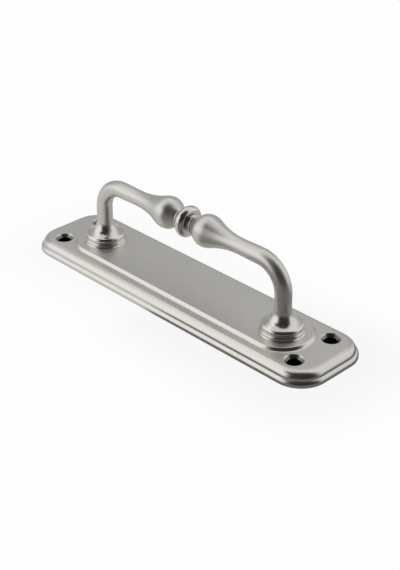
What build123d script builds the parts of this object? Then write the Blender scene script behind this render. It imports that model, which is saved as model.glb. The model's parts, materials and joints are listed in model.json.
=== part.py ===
from build123d import *
import os
from math import asin, atan2, cos, degrees, radians, sin, sqrt, tan

# Door pull handle: a turned grip on two flared feet, held from behind by two machine screws
# to a moulded back plate that is screwed to the door. Millimetres. The back of the plate lies
# on Z = 0 with its centre at the origin, +X runs along the plate and +Z points out of the door.

# Back plate outline
foot_spacing = 129.0           # between the axes of the two feet
plate_overhang = 35.5          # from the axis of a foot to the near end of the plate
plate_width = 50.0
corner_radius = 15.5           # of the rim; the moulding above it follows its corners

# Moulded edge, from the back upwards
back_chamfer = 0.5
rim_side = 1.1                 # upright part of the rim, up to where its round starts
rim_height = 3.4
rim_round = 2.7                # the round ends at the groove, before it is level
quirk_width = 0.1              # flat foot of the fine groove between rim and ovolo
ovolo_radius = 4.2
ledge_height = 7.3

# Raised panel that the feet stand on
panel_side_margin = 8.3        # from the side of the plate to the foot of the panel
panel_reach = 16.3             # from the axis of a foot to the end of the panel
panel_rise = 1.6
panel_slope = 1.1              # how far the panel's side leans in over its rise
panel_cove = 0.8
panel_edge_round = 0.5

# Countersunk holes for the wood screws
screw_end_margin = 16.0        # from the end of the plate to the hole
screw_side_margin = 11.9       # from the side of the plate to the hole
screw_hole_diameter = 6.8
countersink_diameter = 10.0
countersink_angle = 90.0

# Hollow of the plate's back
pocket_margin = 4.0            # from the foot of the panel in to the hollow
pocket_roof = 4.1              # metal left between the hollow and the panel's face
pocket_draft = 6.0             # degrees
pocket_round = 1.0             # between the hollow's sides and its roof
boss_diameter = 15.0

# Fixing screws from behind, into the feet
screw_diameter = 5.0
screw_length = 15.0
screw_head_diameter = 8.5
screw_head_height = 3.3
screw_slot_width = 1.3
screw_slot_depth = 1.6
screw_tip_chamfer = 0.6
head_edge_round = 0.4
head_recess = 0.9              # the head stays this far below the back of the plate
shank_clearance = 0.25         # between shank and plate, all round
head_clearance = 0.6           # between head and counterbore, all round
thread_clearance = 0.05        # between shank and tapped hole, all round
tapped_hole_run_out = 2.0      # depth of the tapped hole past the end of the screw

# Bar of the grip
bar_height = 43.6              # from the back of the plate to the centre line of the bar
bend_radius = 15.0
rod_diameter = 8.5
waist_diameter = 8.1

# Turned centre of the bar, from the middle disc outwards
disc_diameter = 16.5
disc_half_thickness = 2.6
disc_cove = 1.2
neck_diameter = 6.8
neck_length = 0.6
collar_diameter = 10.2
collar_width = 1.2
bulb_diameter = 16.8
bulb_inner_angle = 32.0        # degrees, slope of the bulb's cone towards the collar
bulb_inner_radius = 7.0        # profile arc towards the disc
bulb_outer_radius = 11.0       # profile arc towards the foot
taper_length = 22.0            # from the fullest part of the bulb to the waist

# Flared foot, from the panel upwards
toe_edge = 0.2                 # thin upright edge where the foot meets the panel
toe_bevel = 0.4                # bevel from that edge up to the ring
ring_diameter = 22.0
ring_height = 2.6
ring_round = 1.6
lip_diameter = 21.2
lip_round = 2.0
flare_height = 12.4            # from the panel to where the flare leaves the leg
flare_angle = 70.0             # degrees that the flare turns before it meets the lip

# Places worked out from the sizes above
plate_length = foot_spacing + 2 * plate_overhang
foot_x = foot_spacing / 2
rim_inset = rim_round - sqrt(rim_round**2 - (rim_height - rim_side) ** 2)
upper_inset = rim_inset + quirk_width
panel_top = ledge_height + panel_rise
panel_width = plate_width - 2 * panel_side_margin
panel_length = foot_spacing + 2 * panel_reach
seat_height = head_recess + screw_head_height


def mirrored_pair(shape):
    """The shape at the right-hand foot together with its mirror image at the left-hand foot."""
    return [shape, mirror(shape, about=Plane.YZ)]


def moulded_blank():
    """Plate with its rim and ovolo edge, still without the panel and holes."""
    rim = extrude(RectangleRounded(plate_length, plate_width, corner_radius), rim_side + rim_round)
    rim = fillet(rim.faces().sort_by(Axis.Z)[-1].edges(), rim_round)
    rim = split(rim, Plane.XY.offset(rim_height), keep=Keep.BOTTOM)
    rim = chamfer(rim.faces().sort_by(Axis.Z)[0].edges(), back_chamfer)
    upper_outline = RectangleRounded(
        plate_length - 2 * upper_inset, plate_width - 2 * upper_inset, corner_radius - upper_inset
    )
    moulding = extrude(upper_outline, ledge_height)
    moulding = fillet(moulding.faces().sort_by(Axis.Z)[-1].edges(), ovolo_radius)
    return rim + moulding


def raised_panel():
    """Round-ended panel with leaning sides."""
    lean = degrees(atan2(panel_slope, panel_rise))
    panel = extrude(SlotOverall(panel_length, panel_width), panel_rise, taper=lean)
    return Pos(0, 0, ledge_height) * panel


def back_hollow():
    """Drafted hollow of the back, less the bosses that the fixing screws pass through."""
    hollow = extrude(
        SlotOverall(panel_length - 2 * pocket_margin, panel_width - 2 * pocket_margin),
        panel_top - pocket_roof,
        taper=pocket_draft,
    )
    hollow = fillet(hollow.faces().sort_by(Axis.Z)[-1].edges(), pocket_round)
    boss = Pos(foot_x, 0, 0) * Cylinder(
        boss_diameter / 2, panel_top, align=(Align.CENTER, Align.CENTER, Align.MIN)
    )
    return hollow - mirrored_pair(boss)


def make_back_plate():
    """Moulded plate with its panel, countersunk holes, hollow back and screw seats."""
    plate = moulded_blank() + raised_panel()
    ledge = plate.faces().filter_by(Axis.Z).sort_by(Axis.Z)[-2]
    plate = fillet(ledge.inner_wires()[0].edges(), panel_cove)
    plate = fillet(plate.faces().sort_by(Axis.Z)[-1].edges(), panel_edge_round)
    plate -= back_hollow()

    hole = CounterSinkHole(
        screw_hole_diameter / 2, countersink_diameter / 2, ledge_height, countersink_angle
    )
    hole_spacing_x = plate_length - 2 * screw_end_margin
    hole_spacing_y = plate_width - 2 * screw_side_margin
    for place in GridLocations(hole_spacing_x, hole_spacing_y, 2, 2):
        plate -= Pos(0, 0, ledge_height) * place * hole

    seat = CounterBoreHole(
        screw_diameter / 2 + shank_clearance,
        screw_head_diameter / 2 + head_clearance,
        seat_height,
        panel_top,
    )
    seat = Pos(foot_x, 0, 0) * Rot(180, 0, 0) * seat
    return plate - mirrored_pair(seat)


def turned_centre():
    """Half of the bar from the middle of the disc to the start of the bend, about the X axis."""
    disc_radius = disc_diameter / 2
    neck_radius = neck_diameter / 2
    collar_round = collar_width / 2
    bulb_radius = bulb_diameter / 2
    waist_radius = waist_diameter / 2
    rod_radius = rod_diameter / 2

    rim_centre = (0, disc_radius - disc_half_thickness)
    cove_centre = (disc_half_thickness + disc_cove, neck_radius + disc_cove)
    collar_start = cove_centre[0] + neck_length
    collar_end = collar_start + collar_width
    collar_centre = (collar_start + collar_round, collar_diameter / 2 - collar_round)

    # A cone runs from the collar up to the bulb's inner arc
    slope = radians(bulb_inner_angle)
    cone_top_r = bulb_radius - bulb_inner_radius * (1 - cos(slope))
    cone_top_x = collar_end + (cone_top_r - collar_centre[1]) / tan(slope)
    bulb_x = cone_top_x + bulb_inner_radius * sin(slope)

    # The bulb's outer arc turns smoothly into the taper
    waist_x = bulb_x + taper_length
    outer_centre_r = bulb_radius - bulb_outer_radius
    drop = waist_radius - outer_centre_r
    taper_radius = (taper_length**2 + drop**2 - bulb_outer_radius**2) / (2 * (bulb_outer_radius - drop))
    turn = degrees(atan2(drop + taper_radius, taper_length))
    bend_start = foot_x - bend_radius

    outline = [
        Line((0, 0), (0, disc_radius)),
        CenterArc(rim_centre, disc_half_thickness, 0, 90),
        Line((disc_half_thickness, rim_centre[1]), (disc_half_thickness, cove_centre[1])),
        CenterArc(cove_centre, disc_cove, 180, 90),
        Line((cove_centre[0], neck_radius), (collar_start, neck_radius)),
        Line((collar_start, neck_radius), (collar_start, collar_centre[1])),
        CenterArc(collar_centre, collar_round, 0, 180),
        Line((collar_end, collar_centre[1]), (cone_top_x, cone_top_r)),
        CenterArc((bulb_x, bulb_radius - bulb_inner_radius), bulb_inner_radius, 90, bulb_inner_angle),
        CenterArc((bulb_x, outer_centre_r), bulb_outer_radius, turn, 90 - turn),
        CenterArc((waist_x, waist_radius + taper_radius), taper_radius, 180 + turn, 90 - turn),
        Spline((waist_x, waist_radius), (bend_start, rod_radius), tangents=[(1, 0), (1, 0)]),
        Line((bend_start, rod_radius), (bend_start, 0)),
        Line((bend_start, 0), (0, 0)),
    ]
    return revolve(make_face(outline), Axis.X)


def bend():
    """Quarter turn of plain rod from the bar down to the leg."""
    centre_x = foot_x - bend_radius
    centre_z = bar_height - bend_radius
    section = Pos(foot_x, 0, centre_z) * Circle(rod_diameter / 2)
    return revolve(section, Axis((centre_x, 0, centre_z), (0, -1, 0)), 90)


def leg_and_foot():
    """Leg, flare, rounded lip and base ring, turned about the Z axis and standing on the panel."""
    rod_radius = rod_diameter / 2
    ring_radius = ring_diameter / 2
    lip_radius = lip_diameter / 2
    toe_radius = ring_radius + toe_bevel
    toe_top = toe_edge + toe_bevel
    leg_top = bar_height - bend_radius - panel_top

    # The flare turns from upright to flare_angle, where the lip's round takes over
    lip_centre_r = lip_radius - lip_round
    flare_end_r = lip_centre_r + lip_round * cos(radians(flare_angle))
    flare_radius = (flare_end_r - rod_radius) / (1 - cos(radians(flare_angle)))
    flare_end_z = flare_height - flare_radius * sin(radians(flare_angle))
    lip_centre_z = flare_end_z - lip_round * sin(radians(flare_angle))
    ring_centre = (ring_radius - ring_round, ring_height - ring_round)
    ring_meets_lip = ring_centre[1] + sqrt(ring_round**2 - (lip_radius - ring_centre[0]) ** 2)
    ring_lift = degrees(asin((ring_meets_lip - ring_centre[1]) / ring_round))

    outline = [
        Line((0, 0), (toe_radius, 0)),
        Line((toe_radius, 0), (toe_radius, toe_edge)),
        Line((toe_radius, toe_edge), (ring_radius, toe_top)),
        Line((ring_radius, toe_top), (ring_radius, ring_centre[1])),
        CenterArc(ring_centre, ring_round, 0, ring_lift),
        Line((lip_radius, ring_meets_lip), (lip_radius, lip_centre_z)),
        CenterArc((lip_centre_r, lip_centre_z), lip_round, 0, flare_angle),
        CenterArc((rod_radius + flare_radius, flare_height), flare_radius, 180, flare_angle),
        Line((rod_radius, flare_height), (rod_radius, leg_top)),
        Line((rod_radius, leg_top), (0, leg_top)),
        Line((0, leg_top), (0, 0)),
    ]
    foot = revolve(Plane.XZ * make_face(outline), Axis.Z)
    return Pos(foot_x, 0, panel_top) * foot


def make_pull_grip():
    """One-piece grip with a blind tapped hole in the underside of each foot."""
    half = Pos(0, 0, bar_height) * turned_centre() + bend() + leg_and_foot()
    hole_depth = seat_height + screw_length + tapped_hole_run_out - panel_top
    tapped_hole = Pos(foot_x, 0, panel_top) * Cylinder(
        screw_diameter / 2 + thread_clearance, hole_depth, align=(Align.CENTER, Align.CENTER, Align.MIN)
    )
    half -= tapped_hole
    return half + mirror(half, about=Plane.YZ)


def make_fixing_screw():
    """Slotted cheese-head screw, head down, seated in the counterbore behind the right-hand foot."""
    upright = (Align.CENTER, Align.CENTER, Align.MIN)
    head = Cylinder(screw_head_diameter / 2, screw_head_height, align=upright)
    head = fillet(head.faces().sort_by(Axis.Z)[0].edges(), head_edge_round)
    head -= Box(screw_head_diameter, screw_slot_width, screw_slot_depth, align=upright)
    shank = Cylinder(screw_diameter / 2, screw_length, align=upright)
    shank = chamfer(shank.faces().sort_by(Axis.Z)[-1].edges(), screw_tip_chamfer)
    screw = head + Pos(0, 0, screw_head_height) * shank
    return Pos(foot_x, 0, head_recess) * screw


os.makedirs("parts", exist_ok=True)
export_step(make_back_plate(), "parts/back_plate.step")
export_step(make_pull_grip(), "parts/pull_grip.step")
export_step(Compound(children=mirrored_pair(make_fixing_screw())), "parts/fixing_screws.step")
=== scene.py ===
"""Door pull handle, dressed for rendering.

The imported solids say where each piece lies. Every piece is built again here as a fine, smoothly
shaded mesh of the same form and gets its finish from procedural materials. Lengths are in metres.
"""

import json
import logging
import math
from dataclasses import dataclass, replace
from enum import Enum

import bmesh
import bpy
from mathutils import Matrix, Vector


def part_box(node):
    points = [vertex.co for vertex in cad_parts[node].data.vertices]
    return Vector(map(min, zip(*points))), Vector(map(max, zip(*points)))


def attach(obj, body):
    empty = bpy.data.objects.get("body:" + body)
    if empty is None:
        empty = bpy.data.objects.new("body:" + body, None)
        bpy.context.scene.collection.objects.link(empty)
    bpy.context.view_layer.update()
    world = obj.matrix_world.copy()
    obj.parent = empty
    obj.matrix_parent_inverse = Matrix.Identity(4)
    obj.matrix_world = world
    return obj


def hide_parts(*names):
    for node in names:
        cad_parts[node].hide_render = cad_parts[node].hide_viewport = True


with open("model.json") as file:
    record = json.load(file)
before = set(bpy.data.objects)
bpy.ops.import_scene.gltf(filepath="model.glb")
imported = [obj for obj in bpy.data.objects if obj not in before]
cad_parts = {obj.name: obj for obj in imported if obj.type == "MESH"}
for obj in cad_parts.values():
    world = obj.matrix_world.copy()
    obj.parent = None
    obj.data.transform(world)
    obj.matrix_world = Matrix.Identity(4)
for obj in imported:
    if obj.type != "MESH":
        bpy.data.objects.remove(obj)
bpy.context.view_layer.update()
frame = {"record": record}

LOG = logging.getLogger("door_pull")
MM = 0.001
BODY = "root"
IMAGE_HEIGHT_PX = 570
SENSOR_MM = 36.0
GRAIN_MAP = "grain"
CARD_MAP = "card"
LINE_DETAIL = 2.0
CLOUD_SCALE = 55.0
CLOUD_DETAIL = 3.0
NOISE_MIDDLE = 0.5
CREASE_ANGLE = math.radians(32)
MERGE_DISTANCE = 0.002 * MM

Colour = tuple[float, float, float]
Point2 = tuple[float, float]
Point3 = tuple[float, float, float]


class GrainDirection(Enum):
    """How the fine lines of a satin finish lie on a piece."""

    ALONG_PLATE = "along_plate"
    AROUND_TURNING = "around_turning"


class NodeBuilder:
    """Adds nodes to one tree and links them."""

    def __init__(self, tree: bpy.types.NodeTree) -> None:
        """Keep the tree that the nodes go into."""
        self.tree = tree

    def node(self, kind: str, inputs: dict | None = None, **settings: object) -> bpy.types.Node:
        """Add a node.

        Args:
            kind: Blender's name for the type of node.
            inputs: Values or output sockets for the node's input sockets, by name or place.
            settings: The node's own properties, set before its inputs.

        Returns:
            The new node.
        """
        made = self.tree.nodes.new(kind)
        for name, value in settings.items():
            setattr(made, name, value)
        for socket, value in (inputs or {}).items():
            self.feed(made.inputs[socket], value)
        return made

    def feed(self, socket: bpy.types.NodeSocket, value: object) -> None:
        """Link an output socket to an input socket, or set the input's own value.

        Args:
            socket: The input socket.
            value: The output socket to link, or the value to set.
        """
        if isinstance(value, bpy.types.NodeSocket):
            self.tree.links.new(value, socket)
        else:
            socket.default_value = value

    def math(self, operation: str, first: object, second: object = 0.0) -> bpy.types.NodeSocket:
        """Add a math node and return its result."""
        return self.node("ShaderNodeMath", {0: first, 1: second}, operation=operation).outputs[0]

    def vector(
        self, operation: str, first: object, second: object = (0.0, 0.0, 0.0)
    ) -> bpy.types.NodeSocket:
        """Add a vector math node and return its vector."""
        return self.node("ShaderNodeVectorMath", {0: first, 1: second}, operation=operation).outputs[0]

    def level_length(self, offset: bpy.types.NodeSocket) -> bpy.types.NodeSocket:
        """Length of a vector without its upward part."""
        flat = self.vector("MULTIPLY", offset, (1.0, 1.0, 0.0))
        return self.node("ShaderNodeVectorMath", {0: flat}, operation="LENGTH").outputs["Value"]

    def clamp(self, value: object, low: float, high: float) -> bpy.types.NodeSocket:
        """Keep a value between two limits."""
        return self.node("ShaderNodeClamp", {"Value": value, "Min": low, "Max": high}).outputs[0]

    def combine(self, x: object, y: object, z: object) -> bpy.types.NodeSocket:
        """Join three values into a vector."""
        return self.node("ShaderNodeCombineXYZ", {"X": x, "Y": y, "Z": z}).outputs[0]

    def smooth_step(self, value: object, low: float, high: float) -> bpy.types.NodeSocket:
        """Rise smoothly from 0 at low to 1 at high."""
        inputs = {"Value": value, "From Min": low, "From Max": high}
        return self.node("ShaderNodeMapRange", inputs, interpolation_type="SMOOTHSTEP").outputs["Result"]

    def blend(self, share: object, low: object, high: object) -> bpy.types.NodeSocket:
        """Go from low where a share is 0 to high where it is 1."""
        made = self.node("ShaderNodeMapRange", {"Value": share, "To Min": low, "To Max": high})
        return made.outputs["Result"]

    def mix(
        self, share: object, first: bpy.types.NodeSocket, second: bpy.types.NodeSocket
    ) -> bpy.types.NodeSocket:
        """Go from one shader where a share is 0 to another where it is 1."""
        return self.node("ShaderNodeMixShader", {0: share, 1: first, 2: second}).outputs["Shader"]


@dataclass
class Outline:
    """Open outline in a plane, grown from its first point by straight runs, arcs and eased steps."""

    points: list[Point2]
    arc_step: float = 5.0

    def add(self, u: float, v: float) -> None:
        """Add a point, unless it repeats the last one.

        Args:
            u: Its place along the first axis.
            v: Its place along the second axis.
        """
        last_u, last_v = self.points[-1]
        if math.hypot(u - last_u, v - last_v) > MERGE_DISTANCE:
            self.points.append((u, v))

    def line(self, u: float, v: float, pieces: int = 1) -> None:
        """Run straight to a point.

        Args:
            u: The point's place along the first axis.
            v: The point's place along the second axis.
            pieces: Number of equal pieces in the run.
        """
        start_u, start_v = self.points[-1]
        for step in range(1, pieces + 1):
            share = step / pieces
            self.add(start_u + share * (u - start_u), start_v + share * (v - start_v))

    def arc(self, centre: Point2, radius: float, start: float, turn: float) -> None:
        """Follow an arc.

        Args:
            centre: The arc's centre.
            radius: The arc's radius.
            start: Where the arc starts, in degrees from the first axis.
            turn: How far it goes, in degrees, positive anticlockwise.
        """
        steps = max(2, math.ceil(abs(turn) / self.arc_step))
        for step in range(steps + 1):
            angle = math.radians(start + turn * step / steps)
            self.add(centre[0] + radius * math.cos(angle), centre[1] + radius * math.sin(angle))

    def ease(self, u: float, v: float, pieces: int) -> None:
        """Run to a point on an S-curve that is level at both ends.

        Args:
            u: The point's place along the first axis.
            v: The point's place along the second axis.
            pieces: Number of pieces in the run.
        """
        start_u, start_v = self.points[-1]
        for step in range(1, pieces + 1):
            share = step / pieces
            rise = share * share * (3 - 2 * share)
            self.add(start_u + share * (u - start_u), start_v + rise * (v - start_v))


def direction_to(azimuth: float, elevation: float) -> Vector:
    """Direction from the handle towards a place around it.

    Args:
        azimuth: Degrees around from the front, positive to the right.
        elevation: Degrees up from the floor.

    Returns:
        The direction, with a length of 1.
    """
    turn = math.radians(azimuth)
    rise = math.radians(elevation)
    level = math.cos(rise)
    return Vector((math.sin(turn) * level, -math.cos(turn) * level, math.sin(rise)))


def blank_material(name: str) -> tuple[bpy.types.Material, NodeBuilder]:
    """Make a material with no nodes yet.

    Args:
        name: The material's name.

    Returns:
        The material, and a builder for its nodes.
    """
    made = bpy.data.materials.new(name)
    made.use_nodes = True
    made.node_tree.nodes.clear()
    return made, NodeBuilder(made.node_tree)


def link_object(name: str, data: bpy.types.ID) -> bpy.types.Object:
    """Make an object at the origin and put it in the scene.

    Args:
        name: The object's name.
        data: Its mesh or its camera.

    Returns:
        The new object.
    """
    made = bpy.data.objects.new(name, data)
    bpy.context.scene.collection.objects.link(made)
    return made


def settle_modifiers(piece: bpy.types.Object) -> None:
    """Turn a piece and its modifiers into a plain mesh with no modifier left.

    Args:
        piece: The object, which keeps its name and gets the plain mesh.
    """
    graph = bpy.context.evaluated_depsgraph_get()
    plain = bpy.data.meshes.new_from_object(
        piece.evaluated_get(graph), preserve_all_data_layers=True, depsgraph=graph
    )
    piece.modifiers.clear()
    piece.data = plain


def shade_smooth(piece: bpy.types.Object) -> None:
    """Shade rounds smoothly, keep creases crisp and let flat faces stay flat.

    Args:
        piece: The object to shade.
    """
    mesh = piece.data
    mesh.polygons.foreach_set("use_smooth", [True] * len(mesh.polygons))
    mesh.set_sharp_from_angle(angle=CREASE_ANGLE)
    weighted = piece.modifiers.new("flat faces", "WEIGHTED_NORMAL")
    weighted.keep_sharp = True
    settle_modifiers(piece)


def new_geometry_tree(name: str, sockets: dict[str, str]) -> bpy.types.NodeTree:
    """Make an empty geometry tree with named inputs.

    Args:
        name: The tree's name.
        sockets: Type of socket for each named input, after the geometry itself.

    Returns:
        The tree, with its group input and output not yet placed.
    """
    tree = bpy.data.node_groups.new(name, "GeometryNodeTree")
    tree.interface.new_socket("Geometry", in_out="INPUT", socket_type="NodeSocketGeometry")
    tree.interface.new_socket("Geometry", in_out="OUTPUT", socket_type="NodeSocketGeometry")
    for label, kind in sockets.items():
        tree.interface.new_socket(label, in_out="INPUT", socket_type=kind)
    return tree


def grow(piece: bpy.types.Object, tree: bpy.types.NodeTree, values: dict[str, object]) -> None:
    """Run a geometry tree on a piece and keep the result as a plain mesh.

    Args:
        piece: The object whose mesh the tree starts from.
        tree: The geometry tree.
        values: A value for each of the tree's named inputs.
    """
    modifier = piece.modifiers.new(tree.name, "NODES")
    modifier.node_group = tree
    for item in tree.interface.items_tree:
        if item.in_out == "INPUT" and item.name in values:
            modifier[item.identifier] = values[item.name]
    settle_modifiers(piece)


def outline_mesh(name: str, points: list[Point3]) -> bpy.types.Mesh:
    """Make a mesh of one chain of edges.

    Args:
        name: The mesh's name.
        points: The points that the chain runs through, in order.

    Returns:
        The new mesh.
    """
    mesh = bpy.data.meshes.new(name)
    edges = [(place, place + 1) for place in range(len(points) - 1)]
    mesh.from_pydata(points, edges, [])
    return mesh


@dataclass
class SweptSurface:
    """Sockets of an outline swept once around, before it is given its place."""

    geometry: bpy.types.NodeSocket
    run: bpy.types.NodeSocket
    radius: bpy.types.NodeSocket
    thread: bpy.types.NodeSocket
    angle: bpy.types.NodeSocket


def sweep_outline(
    nodes: NodeBuilder, outline: bpy.types.NodeSocket, sides: bpy.types.NodeSocket
) -> SweptSurface:
    """Sweep an outline around its axis as a sheet that still has to be placed.

    Args:
        nodes: Builder of the tree that the nodes go into.
        outline: Chain of edges whose points hold run, radius and thread share.
        sides: Number of faces around.

    Returns:
        The sheet, and what each of its points holds.
    """
    chain = nodes.node("GeometryNodeMeshToCurve", {"Mesh": outline}).outputs["Curve"]
    kept = nodes.node("GeometryNodeCaptureAttribute", domain="POINT")
    kept.capture_items.new("VECTOR", "Outline Point")
    nodes.feed(kept.inputs["Geometry"], chain)
    nodes.feed(kept.inputs["Outline Point"], nodes.node("GeometryNodeInputPosition").outputs[0])
    place = nodes.node("ShaderNodeSeparateXYZ", {0: kept.outputs["Outline Point"]})

    line = nodes.node("GeometryNodeCurvePrimitiveLine", {"End": (0.0, 0.0, 1.0)})
    around = nodes.node(
        "GeometryNodeResampleCurve",
        {"Curve": line.outputs["Curve"], "Count": nodes.math("ADD", sides, 1.0)},
        mode="COUNT",
    )
    turned = nodes.node("GeometryNodeCaptureAttribute", domain="POINT")
    turned.capture_items.new("FLOAT", "Share")
    nodes.feed(turned.inputs["Geometry"], around.outputs["Curve"])
    nodes.feed(turned.inputs["Share"], nodes.node("GeometryNodeSplineParameter").outputs["Factor"])

    sheet = nodes.node(
        "GeometryNodeCurveToMesh",
        {"Curve": turned.outputs["Geometry"], "Profile Curve": kept.outputs["Geometry"]},
    )
    return SweptSurface(
        geometry=sheet.outputs["Mesh"],
        run=place.outputs["X"],
        radius=place.outputs["Y"],
        thread=place.outputs["Z"],
        angle=nodes.math("MULTIPLY", turned.outputs["Share"], math.tau),
    )


def store_grain(
    nodes: NodeBuilder,
    geometry: bpy.types.NodeSocket,
    run: bpy.types.NodeSocket,
    around: bpy.types.NodeSocket,
) -> bpy.types.NodeSocket:
    """Store a map of lengths along and around a turned surface, for its grain.

    Args:
        nodes: Builder of the tree that the nodes go into.
        geometry: The turned surface.
        run: Length along it.
        around: Length around it.

    Returns:
        The surface with its map.
    """
    made = nodes.node(
        "GeometryNodeStoreNamedAttribute",
        {"Geometry": geometry, "Name": GRAIN_MAP, "Value": nodes.combine(run, around, 0.0)},
        data_type="FLOAT2",
        domain="CORNER",
    )
    return made.outputs["Geometry"]


def close_tree(
    nodes: NodeBuilder, geometry: bpy.types.NodeSocket, material: bpy.types.NodeSocket
) -> None:
    """End a geometry tree with real geometry in one material.

    Args:
        nodes: Builder of the tree that the nodes go into.
        geometry: What the tree has made.
        material: What it is made of.
    """
    real = nodes.node("GeometryNodeRealizeInstances", {"Geometry": geometry})
    coated = nodes.node(
        "GeometryNodeSetMaterial", {"Geometry": real.outputs["Geometry"], "Material": material}
    )
    nodes.node("NodeGroupOutput", {"Geometry": coated.outputs["Geometry"]})


def satin_grain_group() -> bpy.types.NodeTree:
    """Shader group for the fine grain, faint unevenness and painted shade of a satin metal surface.

    Returns:
        The group, built once and shared by every metal.
    """
    name = "satin_grain"
    if name in bpy.data.node_groups:
        return bpy.data.node_groups[name]
    tree = bpy.data.node_groups.new(name, "ShaderNodeTree")
    inputs = {
        "Lines": "NodeSocketVector",
        "Surface": "NodeSocketVector",
        "Colour": "NodeSocketColor",
        # Brightness carries painted shade: the share of the colour left where shade falls in hollows.
        "Brightness": "NodeSocketFloat",
        "Colour Spread": "NodeSocketFloat",
        "Roughness": "NodeSocketFloat",
        "Roughness Spread": "NodeSocketFloat",
    }
    outputs = {
        "Colour": "NodeSocketColor",
        "Roughness": "NodeSocketFloat",
        "Height": "NodeSocketFloat",
    }
    for label, kind in inputs.items():
        tree.interface.new_socket(label, in_out="INPUT", socket_type=kind)
    for label, kind in outputs.items():
        tree.interface.new_socket(label, in_out="OUTPUT", socket_type=kind)
    nodes = NodeBuilder(tree)
    given = nodes.node("NodeGroupInput").outputs

    lines = nodes.node(
        "ShaderNodeTexNoise", {"Vector": given["Lines"], "Scale": 1.0, "Detail": LINE_DETAIL}
    )
    cloud = nodes.node(
        "ShaderNodeTexNoise", {"Vector": given["Surface"], "Scale": CLOUD_SCALE, "Detail": CLOUD_DETAIL}
    )
    line_swing = nodes.math("SUBTRACT", lines.outputs["Fac"], NOISE_MIDDLE)
    cloud_swing = nodes.math("SUBTRACT", cloud.outputs["Fac"], NOISE_MIDDLE)

    swing = nodes.math("ADD", line_swing, cloud_swing)
    mottle = nodes.math("ADD", 1.0, nodes.math("MULTIPLY", swing, given["Colour Spread"]))
    # Painted shade: the colour is scaled down where Brightness is below 1.
    shade = nodes.math("MULTIPLY", given["Brightness"], mottle)
    tinted = nodes.node("ShaderNodeVectorMath", {0: given["Colour"], "Scale": shade}, operation="SCALE")
    gloss_swing = nodes.math("MULTIPLY", swing, given["Roughness Spread"])
    gloss = nodes.math("ADD", given["Roughness"], gloss_swing)
    nodes.node(
        "NodeGroupOutput",
        {
            "Colour": tinted.outputs["Vector"],
            "Roughness": gloss,
            "Height": lines.outputs["Fac"],
        },
    )
    return tree


@dataclass(frozen=True)
class MetalFinish:
    """A satin metal: its colour, its gloss and the fine lines that finishing leaves."""

    name: str
    colour: Colour
    roughness: float
    roughness_spread: float
    colour_spread: float
    line_width: float
    line_length: float
    line_depth: float
    direction: GrainDirection

    def line_scale(self) -> Point3:
        """Scale that turns surface lengths into one noise cell for each line.

        Returns:
            The scale along each axis of the surface.
        """
        across = 1.0 / self.line_width
        along = 1.0 / self.line_length
        if self.direction is GrainDirection.ALONG_PLATE:
            return (along, across, across)
        return (across, along, 1.0)

    def painted_shade_share(self, nodes: NodeBuilder, surface: bpy.types.NodeSocket) -> object:
        """Share of the colour that painted shade leaves: all of it, all over the piece."""
        return 1.0

    def gloss(self, nodes: NodeBuilder, lines: bpy.types.NodeSocket) -> object:
        """Roughness before its fine unevenness: the same all over the piece."""
        return self.roughness

    def material(self) -> bpy.types.Material:
        """Build the finish as a procedural material.

        Returns:
            The new material.
        """
        made, nodes = blank_material(self.name)
        surface = nodes.node("ShaderNodeTexCoord").outputs["Object"]
        lines = surface
        if self.direction is GrainDirection.AROUND_TURNING:
            lines = nodes.node("ShaderNodeUVMap", uv_map=GRAIN_MAP).outputs["UV"]
        drawn = nodes.node("ShaderNodeMapping", {"Vector": lines, "Scale": self.line_scale()})
        grain = nodes.node(
            "ShaderNodeGroup",
            {
                "Lines": drawn.outputs["Vector"],
                "Surface": surface,
                "Colour": (*self.colour, 1.0),
                # Painted shade in hollows darkens the colour through Brightness.
                "Brightness": self.painted_shade_share(nodes, surface),
                "Colour Spread": self.colour_spread,
                "Roughness": self.gloss(nodes, lines),
                "Roughness Spread": self.roughness_spread,
            },
            node_tree=satin_grain_group(),
        )
        bump = nodes.node(
            "ShaderNodeBump",
            {"Height": grain.outputs["Height"], "Strength": 1.0, "Distance": self.line_depth},
        )
        shader = nodes.node(
            "ShaderNodeBsdfPrincipled",
            {
                "Base Color": grain.outputs["Colour"],
                "Metallic": 1.0,
                "Roughness": grain.outputs["Roughness"],
                "Normal": bump.outputs["Normal"],
            },
        )
        nodes.node("ShaderNodeOutputMaterial", {"Surface": shader.outputs["BSDF"]})
        return made


@dataclass(frozen=True)
class MouldedFinish(MetalFinish):
    """A satin metal, brushed on its level faces and smoother on its mouldings, with painted shade in its
    holes.

    Its level span is the upward part of the surface normal over which brushed goes into smooth. Its
    hole span is the distance from the middle of a hole over which the painted shade ends.
    """

    moulded_roughness: float
    level_span: Point2
    # Painted shade: share of the colour left deep in the screw holes, where shade falls.
    painted_shade_level: float
    hole_span: Point2
    hole_place: Point2 = (0.0, 0.0)

    def painted_shade_share(self, nodes: NodeBuilder, surface: bpy.types.NodeSocket) -> object:
        """Share of the colour that painted shade leaves: less of it inside the four screw holes.

        Args:
            nodes: Builder of the material's tree.
            surface: Object coordinates.

        Returns:
            The share, which changes over the surface.
        """
        # Painted shade: the colour darkens towards the middle of each screw hole.
        offset = nodes.vector("SUBTRACT", nodes.vector("ABSOLUTE", surface), (*self.hole_place, 0.0))
        out_of_shade = nodes.smooth_step(nodes.level_length(offset), *self.hole_span)
        return nodes.blend(out_of_shade, self.painted_shade_level, 1.0)

    def gloss(self, nodes: NodeBuilder, lines: bpy.types.NodeSocket) -> object:
        """Roughness before its fine unevenness: higher where the surface lies level.

        Args:
            nodes: Builder of the material's tree.
            lines: Coordinates that the grain follows, which the plate has no need of.

        Returns:
            The roughness, which changes over the surface.
        """
        normal = nodes.node("ShaderNodeNewGeometry").outputs["Normal"]
        upward = nodes.node("ShaderNodeSeparateXYZ", {0: normal}).outputs["Z"]
        share = nodes.smooth_step(upward, *self.level_span)
        return nodes.blend(share, self.moulded_roughness, self.roughness)


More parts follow.
